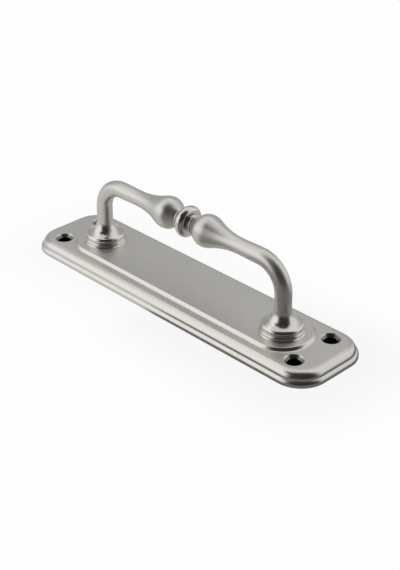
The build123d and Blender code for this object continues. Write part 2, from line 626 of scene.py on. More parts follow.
@dataclass(frozen=True)
class TurnedFinish(MetalFinish):
    """A satin metal that is brushed along a bar and left smoother on its turned disc and feet.

    Its spans are the runs along the bar, from its middle, over which one goes into the other. The
    necks beside the disc are darkened by painted shade between their start and their end.
    """

    turned_roughness: float
    disc_span: Point2
    foot_span: Point2
    # Painted shade: share of the colour left in the necks, the creases beside the disc.
    painted_shade_level: float
    neck_start: Point2
    neck_end: Point2

    def painted_shade_share(self, nodes: NodeBuilder, surface: bpy.types.NodeSocket) -> object:
        """Share of the colour that painted shade leaves: less of it in the necks beside the disc.

        Args:
            nodes: Builder of the material's tree.
            surface: Object coordinates.

        Returns:
            The share, which changes over the surface.
        """
        # Painted shade: the colour darkens in the necks between the disc and the collars.
        along = nodes.node("ShaderNodeSeparateXYZ", {0: nodes.vector("ABSOLUTE", surface)}).outputs["X"]
        into_neck = nodes.smooth_step(along, *self.neck_start)
        past_neck = nodes.smooth_step(along, *self.neck_end)
        neck = nodes.math("SUBTRACT", into_neck, past_neck)
        return nodes.blend(neck, 1.0, self.painted_shade_level)

    def gloss(self, nodes: NodeBuilder, lines: bpy.types.NodeSocket) -> object:
        """Roughness before its fine unevenness: higher along the bar than on disc and feet.

        Args:
            nodes: Builder of the material's tree.
            lines: Lengths along and around the turning.

        Returns:
            The roughness, which changes over the surface.
        """
        run = nodes.math("ABSOLUTE", nodes.node("ShaderNodeSeparateXYZ", {0: lines}).outputs["X"])
        past_disc = nodes.smooth_step(run, *self.disc_span)
        past_bar = nodes.smooth_step(run, *self.foot_span)
        share = nodes.math("SUBTRACT", past_disc, past_bar)
        return nodes.blend(share, self.turned_roughness, self.roughness)


SATIN_NICKEL: Colour = (0.78, 0.757, 0.71)
PLATE_FINISH = MouldedFinish(
    name="satin_nickel_plate",
    colour=SATIN_NICKEL,
    roughness=0.42,
    moulded_roughness=0.24,
    level_span=(0.93, 0.995),
    # Painted shade in the screw holes: the share of the colour left there.
    painted_shade_level=0.32,
    hole_span=(4.1 * MM, 4.9 * MM),
    roughness_spread=0.10,
    colour_spread=0.06,
    line_width=0.12 * MM,
    line_length=2.4 * MM,
    line_depth=0.0008 * MM,
    direction=GrainDirection.ALONG_PLATE,
)
GRIP_FINISH = TurnedFinish(
    name="satin_nickel_grip",
    colour=SATIN_NICKEL,
    roughness=0.37,
    turned_roughness=0.19,
    disc_span=(4 * MM, 7 * MM),
    foot_span=(78 * MM, 88 * MM),
    # Painted shade in the necks beside the disc: the share of the colour left there.
    painted_shade_level=0.30,
    neck_start=(2.6 * MM, 3.3 * MM),
    neck_end=(4.1 * MM, 4.6 * MM),
    roughness_spread=0.10,
    colour_spread=0.06,
    line_width=0.12 * MM,
    line_length=2.0 * MM,
    line_depth=0.0008 * MM,
    direction=GrainDirection.AROUND_TURNING,
)
SCREW_FINISH = MetalFinish(
    name="bright_zinc_screw",
    colour=(0.56, 0.57, 0.58),
    roughness=0.30,
    roughness_spread=0.16,
    colour_spread=0.14,
    line_width=0.10 * MM,
    line_length=1.2 * MM,
    line_depth=0.0012 * MM,
    direction=GrainDirection.AROUND_TURNING,
)


def rounded_ring(
    half_length: float, half_width: float, corner_radius: float, height: float, corner_steps: int
) -> list[Vector]:
    """Points around a rectangle with round corners, anticlockwise from its right-hand side.

    Args:
        half_length: Half of its size along X.
        half_width: Half of its size along Y.
        corner_radius: Radius of its corners.
        height: Where it lies along Z.
        corner_steps: Number of edges in each corner.

    Returns:
        The points, without repeats where two corners meet.
    """
    points: list[Vector] = []
    for quarter, (side_x, side_y) in enumerate(((1, 1), (-1, 1), (-1, -1), (1, -1))):
        centre_x = side_x * (half_length - corner_radius)
        centre_y = side_y * (half_width - corner_radius)
        for step in range(corner_steps + 1):
            angle = math.pi / 2 * (quarter + step / corner_steps)
            x = centre_x + corner_radius * math.cos(angle)
            y = centre_y + corner_radius * math.sin(angle)
            point = Vector((x, y, height))
            if not points or (point - points[-1]).length > MERGE_DISTANCE:
                points.append(point)
    if (points[0] - points[-1]).length < MERGE_DISTANCE:
        points.pop()
    return points


def circle_ring(centre: Point2, radius: float, height: float, sides: int) -> list[Vector]:
    """Points around a level circle.

    Args:
        centre: The circle's centre, seen from above.
        radius: Its radius.
        height: Where it lies along Z.
        sides: Number of points.

    Returns:
        The points, anticlockwise.
    """
    points: list[Vector] = []
    for side in range(sides):
        angle = math.tau * side / sides
        x = centre[0] + radius * math.cos(angle)
        y = centre[1] + radius * math.sin(angle)
        points.append(Vector((x, y, height)))
    return points


class RingMesh:
    """Mesh grown from closed rings of points, bridged ring to ring and filled where it is flat."""

    def __init__(self) -> None:
        """Start with an empty mesh."""
        self.mesh = bmesh.new()

    def loft(self, rings: list[list[Vector]]) -> list[list[bmesh.types.BMVert]]:
        """Bridge rings of equal length one to the next.

        Args:
            rings: The rings of points, in order.

        Returns:
            The vertices of the first and the last ring.
        """
        grown = [[self.mesh.verts.new(point) for point in ring] for ring in rings]
        for lower, upper in zip(grown, grown[1:]):
            for place in range(len(lower)):
                after = (place + 1) % len(lower)
                self.mesh.faces.new((lower[place], lower[after], upper[after], upper[place]))
        return [grown[0], grown[-1]]

    def fill(self, *rings: list[bmesh.types.BMVert]) -> None:
        """Fill the level area between an outer ring and the rings inside it.

        Args:
            rings: The rings of vertices, the outer one first.
        """
        edges = []
        for ring in rings:
            for place, vertex in enumerate(ring):
                pair = (vertex, ring[(place + 1) % len(ring)])
                edges.append(self.mesh.edges.get(pair) or self.mesh.edges.new(pair))
        bmesh.ops.triangle_fill(self.mesh, edges=edges, use_beauty=True, normal=(0.0, 0.0, 1.0))

    def to_mesh(self, name: str) -> bpy.types.Mesh:
        """Turn the faces outwards and end the work on the mesh.

        Args:
            name: The mesh's name.

        Returns:
            The finished mesh.
        """
        bmesh.ops.recalc_face_normals(self.mesh, faces=self.mesh.faces)
        made = bpy.data.meshes.new(name)
        self.mesh.to_mesh(made)
        self.mesh.free()
        return made


@dataclass
class BackPlate:
    """Moulded back plate with its raised panel, countersunk holes and hollow back."""

    length: float
    width: float
    panel_top: float
    foot_x: float
    hole_x: float
    hole_y: float
    hole_radius: float
    corner_radius: float = 15.5 * MM
    back_chamfer: float = 0.5 * MM
    rim_side: float = 1.1 * MM
    rim_height: float = 3.4 * MM
    rim_round: float = 2.7 * MM
    quirk_width: float = 0.1 * MM
    ovolo_radius: float = 4.2 * MM
    panel_rise: float = 1.6 * MM
    panel_side_margin: float = 8.3 * MM
    panel_reach: float = 16.3 * MM
    panel_slope: float = 1.1 * MM
    panel_cove: float = 0.8 * MM
    panel_edge_round: float = 0.5 * MM
    countersink_radius: float = 5.0 * MM
    countersink_slope: float = 45.0
    countersink_edge_round: float = 0.2 * MM
    pocket_margin: float = 4.0 * MM
    pocket_roof: float = 4.1 * MM
    pocket_draft: float = 6.0
    pocket_round: float = 1.0 * MM
    boss_radius: float = 7.5 * MM
    seat_radius: float = 4.85 * MM
    seat_height: float = 4.2 * MM
    shank_hole_radius: float = 2.75 * MM
    corner_steps: int = 28
    hole_sides: int = 72
    hole_wall_pieces: int = 4

    name: str = "moulded_back_plate"
    node: str = "back_plate"
    slot: str = "plate_metal"

    @classmethod
    def from_frame(cls) -> "BackPlate":
        """Take the plate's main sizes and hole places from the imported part.

        Returns:
            The plate, not yet built.
        """
        low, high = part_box("back_plate")
        screw_low, screw_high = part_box("fixing_screws")
        head_radius = (screw_high.y - screw_low.y) / 2
        mounts = {mount["name"]: mount for mount in frame["record"]["mounts"]}
        pattern = mounts["door_screws"]["dims"]
        return cls(
            length=high.x - low.x,
            width=high.y - low.y,
            panel_top=high.z,
            foot_x=screw_high.x - head_radius,
            hole_x=pattern["spacing_x_mm"] * MM / 2,
            hole_y=pattern["spacing_y_mm"] * MM / 2,
            hole_radius=pattern["hole_r_mm"] * MM,
        )

    @property
    def ledge_height(self) -> float:
        """Height of the flat around the panel."""
        return self.panel_top - self.panel_rise

    @property
    def roof_height(self) -> float:
        """Height of the roof of the hollow."""
        return self.panel_top - self.pocket_roof

    @property
    def panel_half_length(self) -> float:
        """Half of the panel's length at its foot."""
        return self.foot_x + self.panel_reach

    @property
    def panel_half_width(self) -> float:
        """Half of the panel's width at its foot."""
        return self.width / 2 - self.panel_side_margin

    def edge_ring(self, inset: float, height: float) -> list[Vector]:
        """Ring around the plate.

        Args:
            inset: How far it is moved in from the plate's outermost line.
            height: Where it lies along Z.

        Returns:
            The ring's points.
        """
        half_length = self.length / 2 - inset
        half_width = self.width / 2 - inset
        return rounded_ring(
            half_length, half_width, self.corner_radius - inset, height, self.corner_steps
        )

    def panel_ring(self, inset: float, height: float) -> list[Vector]:
        """Round-ended ring around the panel.

        Args:
            inset: How far it is moved in from the foot of the panel.
            height: Where it lies along Z.

        Returns:
            The ring's points.
        """
        half_width = self.panel_half_width - inset
        return rounded_ring(
            self.panel_half_length - inset, half_width, half_width, height, self.corner_steps
        )

    def moulded_edge(self) -> list[list[Vector]]:
        """Outer edge of the plate, with its rim, fine groove and ovolo.

        Returns:
            Rings from the back of the plate up to the ledge.
        """
        edge = Outline([(self.back_chamfer, 0.0)])
        edge.line(0.0, self.back_chamfer)
        rim_turn = math.degrees(math.asin((self.rim_height - self.rim_side) / self.rim_round))
        edge.arc((self.rim_round, self.rim_side), self.rim_round, 180, -rim_turn)
        upper_inset = edge.points[-1][0] + self.quirk_width
        ovolo_centre = (upper_inset + self.ovolo_radius, self.ledge_height - self.ovolo_radius)
        sunk = math.degrees(math.asin((self.rim_height - ovolo_centre[1]) / self.ovolo_radius))
        edge.arc(ovolo_centre, self.ovolo_radius, 180 - sunk, sunk - 90)
        return [self.edge_ring(inset, z) for inset, z in edge.points]

    def panel_side(self) -> list[list[Vector]]:
        """Side of the panel, with its cove, leaning face and rounded edge.

        Returns:
            Rings from the ledge up to the top of the panel.
        """
        lean = math.atan2(self.panel_slope, self.panel_rise)
        half_turn = (math.pi / 2 - lean) / 2
        turn = math.degrees(2 * half_turn)
        cove_reach = self.panel_cove * math.tan(half_turn)
        edge_reach = self.panel_edge_round * math.tan(half_turn)
        side = Outline([(-cove_reach, self.ledge_height)])
        side.arc((-cove_reach, self.ledge_height + self.panel_cove), self.panel_cove, -90, turn)
        edge_centre = (self.panel_slope + edge_reach, self.panel_top - self.panel_edge_round)
        side.arc(edge_centre, self.panel_edge_round, 90 + turn, -turn)
        return [self.panel_ring(inset, z) for inset, z in side.points]

    def back_hollow(self) -> list[list[Vector]]:
        """Drafted sides of the hollow in the back.

        Returns:
            Rings from the back face up to the roof of the hollow.
        """
        draft = math.radians(self.pocket_draft)
        round_height = self.roof_height - self.pocket_round
        centre_inset = round_height * math.tan(draft) + self.pocket_round / math.cos(draft)
        side = Outline([(0.0, 0.0)])
        start = 180 - self.pocket_draft
        side.arc((centre_inset, round_height), self.pocket_round, start, 90 - start)
        return [self.panel_ring(self.pocket_margin + inset, z) for inset, z in side.points]

    def screw_hole(self, centre: Point2) -> list[list[Vector]]:
        """Wall of one countersunk hole.

        Args:
            centre: The hole's centre, seen from above.

        Returns:
            Rings from the softened upper edge down to the back.
        """
        slope = math.radians(self.countersink_slope)
        edge = self.countersink_edge_round
        edge_radius = self.countersink_radius + edge * math.tan(slope / 2)
        cone_depth = (self.countersink_radius - self.hole_radius) * math.tan(slope)
        wall = Outline([(edge_radius, self.ledge_height)])
        wall.arc((edge_radius, self.ledge_height - edge), edge, 90, self.countersink_slope)
        wall.line(self.hole_radius, self.ledge_height - cone_depth, self.hole_wall_pieces)
        wall.line(self.hole_radius, 0.0, self.hole_wall_pieces)
        return [circle_ring(centre, radius, z, self.hole_sides) for radius, z in wall.points]

    def screw_seat(self, centre: Point2) -> list[list[Vector]]:
        """Wall of one boss in the hollow and of the stepped hole through it.

        Args:
            centre: The boss's centre, seen from above.

        Returns:
            Rings from the roof of the hollow down the boss and up the hole to the panel.
        """
        wall = Outline([(self.boss_radius, self.roof_height)])
        wall.line(self.boss_radius, 0.0)
        wall.line(self.seat_radius, 0.0)
        wall.line(self.seat_radius, self.seat_height)
        wall.line(self.shank_hole_radius, self.seat_height)
        wall.line(self.shank_hole_radius, self.panel_top)
        return [circle_ring(centre, radius, z, self.hole_sides) for radius, z in wall.points]

    def build(self) -> bpy.types.Object:
        """Build the plate as one closed mesh.

        Returns:
            The plate's object.
        """
        grown = RingMesh()
        back_edge, ledge_edge = grown.loft(self.moulded_edge())
        panel_foot, panel_edge = grown.loft(self.panel_side())
        hollow_edge, roof_edge = grown.loft(self.back_hollow())
        hole_places = [(x, y) for x in (-self.hole_x, self.hole_x) for y in (-self.hole_y, self.hole_y)]
        holes = [grown.loft(self.screw_hole(place)) for place in hole_places]
        seats = [grown.loft(self.screw_seat((x, 0.0))) for x in (-self.foot_x, self.foot_x)]
        grown.fill(ledge_edge, panel_foot, *[top for top, bottom in holes])
        grown.fill(back_edge, hollow_edge, *[bottom for top, bottom in holes])
        grown.fill(roof_edge, *[boss for boss, top in seats])
        grown.fill(panel_edge, *[top for boss, top in seats])
        piece = link_object(self.name, grown.to_mesh(self.name))
        shade_smooth(piece)
        return piece

    def dress(self, piece: bpy.types.Object) -> None:
        """Give the plate its finish."""
        finish = replace(PLATE_FINISH, hole_place=(self.hole_x, self.hole_y))
        piece.data.materials.append(finish.material())


@dataclass
class PullGrip:
    """Turned grip: disc, collars and bulbs on a bar that bends down to two flared feet."""

    foot_x: float
    bar_height: float
    base_height: float
    disc_radius: float = 8.25 * MM
    disc_half_thickness: float = 2.6 * MM
    disc_cove: float = 1.2 * MM
    neck_radius: float = 3.4 * MM
    neck_length: float = 0.6 * MM
    collar_radius: float = 5.1 * MM
    collar_width: float = 1.2 * MM
    bulb_radius: float = 8.4 * MM
    bulb_inner_angle: float = 32.0
    bulb_inner_radius: float = 7.0 * MM
    bulb_outer_radius: float = 11.0 * MM
    taper_length: float = 22.0 * MM
    waist_radius: float = 4.05 * MM
    rod_radius: float = 4.25 * MM
    bend_radius: float = 15.0 * MM
    toe_edge: float = 0.2 * MM
    toe_bevel: float = 0.4 * MM
    ring_radius: float = 11.0 * MM
    ring_height: float = 2.6 * MM
    ring_round: float = 1.6 * MM
    lip_radius: float = 10.6 * MM
    lip_round: float = 2.0 * MM
    flare_height: float = 12.4 * MM
    flare_angle: float = 70.0
    tapped_hole_radius: float = 2.55 * MM
    tapped_hole_depth: float = 12.3 * MM
    sides: int = 128
    run_step: float = 0.8 * MM
    cone_pieces: int = 6

    name: str = "turned_pull_grip"
    node: str = "pull_grip"
    slot: str = "grip_metal"

    @classmethod
    def from_frame(cls, plate: BackPlate) -> "PullGrip":
        """Take the grip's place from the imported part.

        Args:
            plate: The back plate, whose screw seats the feet stand over.

        Returns:
            The grip, not yet built.
        """
        low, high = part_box("pull_grip")
        return cls(
            foot_x=plate.foot_x,
            bar_height=high.z - cls.bulb_radius,
            base_height=low.z,
        )

    @property
    def straight_length(self) -> float:
        """Half of the bar, from the middle of the disc to where a bend starts."""
        return self.foot_x - self.bend_radius

    @property
    def full_run(self) -> float:
        """Length of the axis from the middle of the disc to the underside of a foot."""
        leg = self.bar_height - self.bend_radius - self.base_height
        return self.straight_length + self.bend_radius * math.pi / 2 + leg

    def steps_for(self, length: float) -> int:
        """Number of even steps along a plain stretch of rod."""
        return max(1, math.ceil(length / self.run_step))

    def turn_centre(self, outline: Outline) -> None:
        """Carry the outline from the disc over collar, bulb and taper to the start of the bend.

        Args:
            outline: Run along the axis and radius, which this goes on with.
        """
        rim_centre = self.disc_radius - self.disc_half_thickness
        outline.arc((0.0, rim_centre), self.disc_half_thickness, 90, -90)
        cove = (self.disc_half_thickness + self.disc_cove, self.neck_radius + self.disc_cove)
        outline.arc(cove, self.disc_cove, 180, 90)
        collar_start = cove[0] + self.neck_length
        collar_round = self.collar_width / 2
        collar_centre = self.collar_radius - collar_round
        outline.line(collar_start, self.neck_radius)
        outline.arc((collar_start + collar_round, collar_centre), collar_round, 180, -180)

        slope = math.radians(self.bulb_inner_angle)
        cone_top = self.bulb_radius - self.bulb_inner_radius * (1 - math.cos(slope))
        cone_run = collar_start + self.collar_width + (cone_top - collar_centre) / math.tan(slope)
        bulb_run = cone_run + self.bulb_inner_radius * math.sin(slope)
        outline.line(cone_run, cone_top, self.cone_pieces)
        inner_centre = (bulb_run, self.bulb_radius - self.bulb_inner_radius)
        inner_turn = self.bulb_inner_angle
        outline.arc(inner_centre, self.bulb_inner_radius, 90 + inner_turn, -inner_turn)

        outer_radius = self.bulb_outer_radius
        outer_centre = self.bulb_radius - outer_radius
        drop = self.waist_radius - outer_centre
        reach = self.taper_length
        taper_radius = (reach**2 + drop**2 - outer_radius**2) / (2 * (outer_radius - drop))
        turn = math.degrees(math.atan2(drop + taper_radius, reach))
        waist_run = bulb_run + reach
        outline.arc((bulb_run, outer_centre), outer_radius, 90, turn - 90)
        outline.arc((waist_run, self.waist_radius + taper_radius), taper_radius, 180 + turn, 90 - turn)
        pieces = self.steps_for(self.straight_length - waist_run)
        outline.ease(self.straight_length, self.rod_radius, pieces)

    def turn_foot(self, outline: Outline) -> None:
        """Carry the outline round the bend, down the leg and over flare, lip and ring to the base.

        Args:
            outline: Run along the axis and radius, which this ends in the tapped hole.
        """
        base = self.full_run
        flare_start = base - self.flare_height
        outline.line(flare_start, self.rod_radius, self.steps_for(flare_start - self.straight_length))
        angle = math.radians(self.flare_angle)
        lip_centre = self.lip_radius - self.lip_round
        flare_end = lip_centre + self.lip_round * math.cos(angle)
        flare_radius = (flare_end - self.rod_radius) / (1 - math.cos(angle))
        outline.arc((flare_start, self.rod_radius + flare_radius), flare_radius, -90, self.flare_angle)

        lip_run = flare_start + (flare_radius + self.lip_round) * math.sin(angle)
        outline.arc((lip_run, lip_centre), self.lip_round, 90 + self.flare_angle, -self.flare_angle)
        ring_run = base - self.ring_height + self.ring_round
        ring_centre = self.ring_radius - self.ring_round
        lip_offset = self.lip_radius - ring_centre
        ring_turn = math.degrees(math.acos(lip_offset / self.ring_round))
        outline.arc((ring_run, ring_centre), self.ring_round, 90 + ring_turn, -ring_turn)
        toe_radius = self.ring_radius + self.toe_bevel
        outline.line(base - self.toe_edge - self.toe_bevel, self.ring_radius)
        outline.line(base - self.toe_edge, toe_radius)
        outline.line(base, toe_radius)
        outline.line(base, self.tapped_hole_radius)
        outline.line(base - self.tapped_hole_depth, self.tapped_hole_radius)
        outline.line(base - self.tapped_hole_depth, 0.0)

    def tree(self) -> bpy.types.NodeTree:
        """Geometry tree that turns an outline around an axis that bends down at both ends.

        Returns:
            The tree.
        """
        tree = new_geometry_tree(
            "bent_turning",
            {
                "Sides": "NodeSocketInt",
                "Straight Length": "NodeSocketFloat",
                "Bend Radius": "NodeSocketFloat",
                "Bar Height": "NodeSocketFloat",
                "Grain Radius": "NodeSocketFloat",
                "Material": "NodeSocketMaterial",
            },
        )
        nodes = NodeBuilder(tree)
        given = nodes.node("NodeGroupInput").outputs
        sheet = sweep_outline(nodes, given["Geometry"], given["Sides"])

        past_bar = nodes.math("SUBTRACT", sheet.run, given["Straight Length"])
        bent = nodes.clamp(nodes.math("DIVIDE", past_bar, given["Bend Radius"]), 0.0, math.pi / 2)
        bend_sine = nodes.math("SINE", bent)
        bend_cosine = nodes.math("COSINE", bent)
        bend_run = nodes.math("MULTIPLY", bent, given["Bend Radius"])
        leg_run = nodes.math("MAXIMUM", nodes.math("SUBTRACT", past_bar, bend_run), 0.0)
        bar_run = nodes.math("MINIMUM", sheet.run, given["Straight Length"])
        reach = nodes.math("ADD", bar_run, nodes.math("MULTIPLY", given["Bend Radius"], bend_sine))
        bend_drop = nodes.math("MULTIPLY", given["Bend Radius"], nodes.math("SUBTRACT", 1.0, bend_cosine))
        level = nodes.math("SUBTRACT", given["Bar Height"], nodes.math("ADD", bend_drop, leg_run))

        out = nodes.math("MULTIPLY", sheet.radius, nodes.math("COSINE", sheet.angle))
        across = nodes.math("MULTIPLY", sheet.radius, nodes.math("SINE", sheet.angle))
        place = nodes.combine(
            nodes.math("ADD", reach, nodes.math("MULTIPLY", out, bend_sine)),
            across,
            nodes.math("ADD", level, nodes.math("MULTIPLY", out, bend_cosine)),
        )
        half = nodes.node("GeometryNodeSetPosition", {"Geometry": sheet.geometry, "Position": place})
        mirrored = nodes.node(
            "GeometryNodeTransform", {"Geometry": half.outputs["Geometry"], "Scale": (-1.0, 1.0, 1.0)}
        )
        turned_out = nodes.node("GeometryNodeFlipFaces", {"Mesh": mirrored.outputs["Geometry"]})

        around = nodes.math("MULTIPLY", sheet.angle, given["Grain Radius"])
        run_back = nodes.math("MULTIPLY", sheet.run, -1.0)
        whole = nodes.node("GeometryNodeJoinGeometry")
        nodes.feed(whole.inputs[0], store_grain(nodes, half.outputs["Geometry"], sheet.run, around))
        nodes.feed(whole.inputs[0], store_grain(nodes, turned_out.outputs["Mesh"], run_back, around))
        closed = nodes.node(
            "GeometryNodeMergeByDistance", {"Geometry": whole.outputs[0], "Distance": MERGE_DISTANCE}
        )
        close_tree(nodes, closed.outputs["Geometry"], given["Material"])
        return tree

    def build(self) -> bpy.types.Object:
        """Build the grip as one closed mesh.

        Returns:
            The grip's object.
        """
        outline = Outline([(0.0, self.disc_radius)])
        self.turn_centre(outline)
        self.turn_foot(outline)
        points = [(run, radius, 0.0) for run, radius in outline.points]
        piece = link_object(self.name, outline_mesh(self.name, points))
        values = {
            "Sides": self.sides,
            "Straight Length": self.straight_length,
            "Bend Radius": self.bend_radius,
            "Bar Height": self.bar_height,
            "Grain Radius": self.rod_radius,
            "Material": GRIP_FINISH.material(),
        }
        grow(piece, self.tree(), values)
        return piece

    def dress(self, piece: bpy.types.Object) -> None:
        """Shade the grip smoothly; its finish comes with its shape."""
        shade_smooth(piece)


@dataclass
class FixingScrews:
    """Slotted cheese-head screws that hold the grip to the plate from behind.

    Their thread flank is the distance from a crest, in pitches, over which the groove deepens.
    """

    foot_x: float
    head_height_z: float
    head_radius: float
    tip_height_z: float
    head_height: float = 3.3 * MM
    shank_radius: float = 2.5 * MM
    slot_width: float = 1.3 * MM
    slot_depth: float = 1.6 * MM
    tip_chamfer: float = 0.6 * MM
    head_edge_round: float = 0.4 * MM
    plain_run: float = 1.0 * MM
    thread_pitch: float = 0.8 * MM
    thread_depth: float = 0.42 * MM
    thread_flank: Point2 = (0.1, 0.4)
    steps_per_thread: int = 8
    sides: int = 48
    count: int = 2

    name: str = "cheese_head_screws"
    node: str = "fixing_screws"
    slot: str = "screw_steel"

    @classmethod
    def from_frame(cls) -> "FixingScrews":
        """Take the screws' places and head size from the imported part.

        Returns:
            The screws, not yet built.
        """
        low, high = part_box("fixing_screws")
        head_radius = (high.y - low.y) / 2
        return cls(
            foot_x=high.x - head_radius,
            head_height_z=low.z,
            head_radius=head_radius,
            tip_height_z=high.z,
        )

    @property
    def slot_cutter(self) -> Point3:
        """Size of the block that cuts the slot: longer than the head, and half of it below its face."""
        return (3 * self.head_radius, self.slot_width, 2 * self.slot_depth)

    def outline(self) -> list[Point3]:
        """Outline of one screw.

        Returns:
            Run, radius and thread share of each point, from the middle of the head to the tip.
        """
        length = self.tip_height_z - self.head_height_z
        head = Outline([(0.0, 0.0)])
        edge = self.head_edge_round
        head.line(0.0, self.head_radius - edge)
        head.arc((edge, self.head_radius - edge), edge, 180, -90)
        head.line(self.head_height, self.head_radius)
        head.line(self.head_height, self.shank_radius)
        thread_start = self.head_height + self.plain_run
        thread_end = length - self.tip_chamfer
        pieces = math.ceil((thread_end - thread_start) / self.thread_pitch * self.steps_per_thread)
        thread = Outline([(thread_start, self.shank_radius)])
        thread.line(thread_end, self.shank_radius, pieces)
        tip = Outline([(length, self.shank_radius - self.tip_chamfer)])
        tip.line(length, 0.0)
        plain = [(run, radius, 0.0) for run, radius in head.points]
        threaded = [(run, radius, 1.0) for run, radius in thread.points[1:]]
        ends = [(run, radius, 0.0) for run, radius in tip.points]
        return [*plain, (*thread.points[0], 0.0), *threaded, *ends]

    def tree(self) -> bpy.types.NodeTree:
        """Geometry tree for a threaded, slotted screw that is repeated along a line.

        Returns:
            The tree.
        """
        tree = new_geometry_tree(
            "slotted_screws",
            {
                "Sides": "NodeSocketInt",
                "Pitch": "NodeSocketFloat",
                "Thread Depth": "NodeSocketFloat",
                "Slot Size": "NodeSocketVector",
                "Count": "NodeSocketInt",
                "First Place": "NodeSocketVector",
                "Spacing": "NodeSocketVector",
                "Grain Radius": "NodeSocketFloat",
                "Material": "NodeSocketMaterial",
            },
        )
        nodes = NodeBuilder(tree)
        given = nodes.node("NodeGroupInput").outputs
        sheet = sweep_outline(nodes, given["Geometry"], given["Sides"])

        turns = nodes.math("DIVIDE", sheet.angle, math.tau)
        pitches = nodes.math("DIVIDE", sheet.run, given["Pitch"])
        groove = nodes.math("PINGPONG", nodes.math("SUBTRACT", pitches, turns), 0.5)
        cut = nodes.math("MULTIPLY", nodes.smooth_step(groove, *self.thread_flank), given["Thread Depth"])
        radius = nodes.math("SUBTRACT", sheet.radius, nodes.math("MULTIPLY", cut, sheet.thread))
        place = nodes.combine(
            nodes.math("MULTIPLY", radius, nodes.math("COSINE", sheet.angle)),
            nodes.math("MULTIPLY", radius, nodes.math("SINE", sheet.angle)),
            sheet.run,
        )
        around = nodes.math("MULTIPLY", sheet.angle, given["Grain Radius"])
        turned = nodes.node("GeometryNodeSetPosition", {"Geometry": sheet.geometry, "Position": place})
        mapped = store_grain(nodes, turned.outputs["Geometry"], sheet.run, around)
        closed = nodes.node(
            "GeometryNodeMergeByDistance", {"Geometry": mapped, "Distance": MERGE_DISTANCE}
        )
        cutter = nodes.node("GeometryNodeMeshCube", {"Size": given["Slot Size"]})
        slotted = nodes.node("GeometryNodeMeshBoolean", operation="DIFFERENCE", solver="EXACT")
        nodes.feed(slotted.inputs["Mesh 1"], closed.outputs["Geometry"])
        nodes.feed(slotted.inputs["Mesh 2"], cutter.outputs["Mesh"])
        places = nodes.node(
            "GeometryNodeMeshLine",
            {"Count": given["Count"], "Start Location": given["First Place"], "Offset": given["Spacing"]},
        )
        repeated = nodes.node(
            "GeometryNodeInstanceOnPoints",
            {"Points": places.outputs["Mesh"], "Instance": slotted.outputs["Mesh"]},
        )
        close_tree(nodes, repeated.outputs["Instances"], given["Material"])
        return tree

    def build(self) -> bpy.types.Object:
        """Build both screws as one piece.

        Returns:
            The screws' object.
        """
        piece = link_object(self.name, outline_mesh(self.name, self.outline()))
        values = {
            "Sides": self.sides,
            "Pitch": self.thread_pitch,
            "Thread Depth": self.thread_depth,
            "Slot Size": self.slot_cutter,
            "Count": self.count,
            "First Place": (-self.foot_x, 0.0, self.head_height_z),
            "Spacing": (2 * self.foot_x, 0.0, 0.0),
            "Grain Radius": self.shank_radius,
            "Material": SCREW_FINISH.material(),
        }
        grow(piece, self.tree(), values)
        return piece

    def dress(self, piece: bpy.types.Object) -> None:
        """Shade the screws smoothly; their finish comes with their shape."""
        shade_smooth(piece)


@dataclass(frozen=True)
class Card:
    """Curved card that stands around the handle and shows only in its reflections.

    Its azimuth and elevation are spans in degrees, its level is how bright it is, and its feather is
    the width in degrees over which its sides, its foot and its top fade out.
    """

    name: str
    azimuth: Point2
    elevation: Point2
    level: float
    feather: Point3
    colour: Colour = (1.0, 1.0, 1.0)
    distance: float = 1.2
    steps: int = 24

    def point(self, across: float, up: float) -> Vector:
        """Place on the card.

        Args:
            across: Share of the way across it.
            up: Share of the way up it.

        Returns:
            The place.
        """
        azimuth = self.azimuth[0] + across * (self.azimuth[1] - self.azimuth[0])
        elevation = self.elevation[0] + up * (self.elevation[1] - self.elevation[0])
        return direction_to(azimuth, elevation) * self.distance

    def material(self) -> bpy.types.Material:
        """Even glow that fades out at the card's edges.

        Returns:
            The new material.
        """
        made, nodes = blank_material(self.name)
        place = nodes.node("ShaderNodeUVMap", uv_map=CARD_MAP).outputs["UV"]
        shares = nodes.node("ShaderNodeSeparateXYZ", {0: place}).outputs
        width = self.azimuth[1] - self.azimuth[0]
        height = self.elevation[1] - self.elevation[0]
        side_fade, foot_fade, top_fade = self.feather
        cover = nodes.smooth_step(nodes.math("PINGPONG", shares["X"], 0.5), 0.0, side_fade / width)
        foot = nodes.smooth_step(shares["Y"], 0.0, foot_fade / height)
        top = nodes.smooth_step(nodes.math("SUBTRACT", 1.0, shares["Y"]), 0.0, top_fade / height)
        cover = nodes.math("MULTIPLY", cover, nodes.math("MULTIPLY", foot, top))
        clear = nodes.node("ShaderNodeBsdfTransparent").outputs["BSDF"]
        glow = nodes.node("ShaderNodeEmission", {"Color": (*self.colour, 1.0), "Strength": self.level})
        faded = nodes.mix(cover, clear, glow.outputs["Emission"])
        nodes.node("ShaderNodeOutputMaterial", {"Surface": faded})
        return made

    def build(self) -> bpy.types.Object:
        """Build the card as part of the stage.

        Returns:
            The card's object.
        """
        grid = bmesh.new()
        shares = grid.loops.layers.uv.new(CARD_MAP)
        ticks = [step / self.steps for step in range(self.steps + 1)]
        rows = [[grid.verts.new(self.point(across, up)) for across in ticks] for up in ticks]
        for row in range(self.steps):
            for column in range(self.steps):
                corners = ((column, row), (column + 1, row), (column + 1, row + 1), (column, row + 1))
                face = grid.faces.new([rows[up][across] for across, up in corners])
                for loop, (across, up) in zip(face.loops, corners):
                    loop[shares].uv = (ticks[across], ticks[up])
        mesh = bpy.data.meshes.new(self.name)
        grid.to_mesh(mesh)
        grid.free()
        mesh.materials.append(self.material())
        card = link_object(self.name, mesh)
        card.visible_camera = False
        return card


